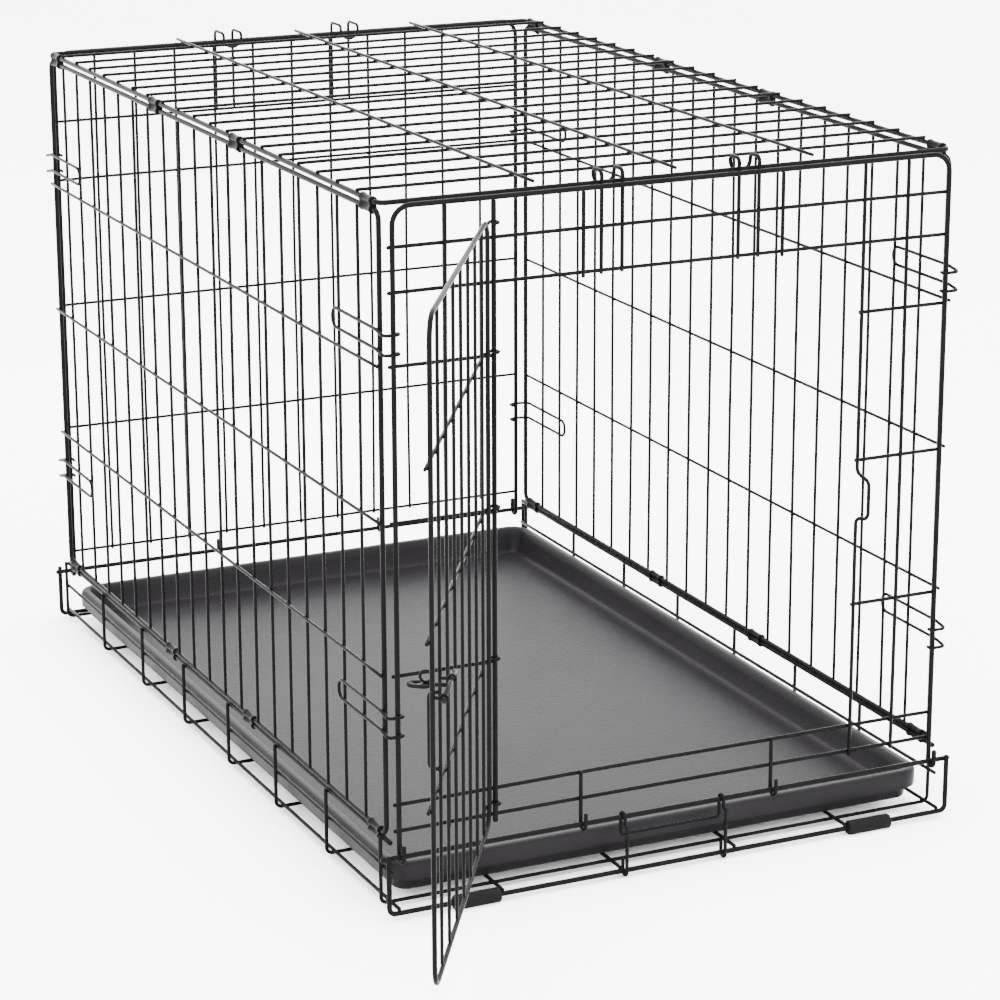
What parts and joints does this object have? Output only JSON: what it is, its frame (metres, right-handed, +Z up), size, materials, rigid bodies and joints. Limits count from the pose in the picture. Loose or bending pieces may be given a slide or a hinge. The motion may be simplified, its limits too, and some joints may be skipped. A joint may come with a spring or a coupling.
{
  "type": "folding wire dog crate",
  "caption": "Folding crate of welded black wire with a hinged front door, slide-bolt latch, hinged side and top panels, fold-in back panel and a removable plastic floor tray.",
  "frame": {"origin": "middle of the base's outline at floor level (the open door reaches out past the base on -Y and +X is free)", "axes": "+Z up; the door end faces -Y; +X points to the right when facing the door end; +Y runs along the crate's length"},
  "size_m": [0.5719, 1.0505, 0.5505],
  "materials": {
    "black_wire": "semi-gloss black electro-coat on steel wire",
    "clip_steel": "glossy black coat on crimped sheet steel",
    "latch_steel": "semi-gloss black coat on formed steel",
    "tray_plastic": "dark grey moulded plastic with a fine pebble grain",
    "foot_rubber": "dark grey rubber sleeve"
  },
  "bodies": {
    "base": {"base_end_wires": "black_wire", "base_third_rails": "black_wire", "base_cross_wires": "black_wire", "base_cross_ends": "black_wire", "base_floor_wires": "black_wire", "base_side_wires": "black_wire", "base_hinge_rails": "black_wire", "base_clips_left": "clip_steel", "base_clips_right": "clip_steel", "front_feet": "foot_rubber", "back_feet": "foot_rubber", "front_frame": "black_wire", "front_crossbars": "black_wire", "front_uprights": "black_wire", "front_hinge_wire": "black_wire", "front_strike_wire": "black_wire", "front_top_hooks": "black_wire", "front_bottom_hooks": "black_wire"},
    "door": {"door_frame": "black_wire", "door_uprights": "black_wire", "door_crossbars": "black_wire", "door_eyes": "black_wire", "latch_guides": "black_wire", "latch_guard": "black_wire"},
    "latch": {"latch_bolt": "latch_steel", "latch_paddle": "latch_steel"},
    "left_side": {"left_frame": "black_wire", "left_uprights": "black_wire", "left_crossbars": "black_wire", "left_loops": "black_wire"},
    "right_side": {"right_frame": "black_wire", "right_uprights": "black_wire", "right_crossbars": "black_wire", "right_loops": "black_wire"},
    "top": {"top_frame": "black_wire", "top_cross_wires": "black_wire", "top_long_wires": "black_wire", "top_clips_left": "clip_steel", "top_clips_right": "clip_steel"},
    "back_panel": {"back_frame": "black_wire", "back_uprights": "black_wire", "back_crossbars": "black_wire", "back_top_hooks": "black_wire", "back_bottom_hooks": "black_wire"},
    "tray": {"tray": "tray_plastic"},
    "tray_stop": {"tray_stop": "black_wire"}
  },
  "joints": [
    {"name": "door_swing", "type": "hinge", "parent": "base", "child": "door", "pos_m": [-0.152, -0.384, 0.285], "axis": [0, 0, 1], "range_deg": [-30, 122]},
    {"name": "latch_slide", "type": "slide", "parent": "door", "child": "latch", "axis": [-0.5299, -0.848, 0], "range_m": [0, 0.014]},
    {"name": "side_collapse", "type": "hinge", "parent": "base", "child": "left_side", "pos_m": [-0.237, 0, 0.062], "axis": [0, 1, 0], "range_deg": [0, 85]},
    {"name": "right_side_follow", "type": "hinge", "parent": "base", "child": "right_side", "pos_m": [0.237, 0, 0.062], "axis": [0, 1, 0], "range_deg": [0, 85]},
    {"name": "top_follow", "type": "hinge", "parent": "left_side", "child": "top", "pos_m": [-0.237, 0, 0.534], "axis": [0, 1, 0], "range_deg": [-85, 0]},
    {"name": "back_fold", "type": "hinge", "parent": "base", "child": "back_panel", "pos_m": [0, 0.3881, 0.048], "axis": [1, 0, 0], "range_deg": [0, 90]},
    {"name": "tray_slide", "type": "slide", "parent": "base", "child": "tray", "axis": [0, -1, 0], "range_m": [-0.005, 0.007]},
    {"name": "tray_stop_flip", "type": "hinge", "parent": "base", "child": "tray_stop", "pos_m": [0, -0.3881, 0.048], "axis": [-1, 0, 0], "range_deg": [0, 110]}
  ],
  "couplings": [
    {"joint": "right_side_follow", "follows": "side_collapse", "ratio": 1},
    {"joint": "top_follow", "follows": "side_collapse", "ratio": -1}
  ]
}
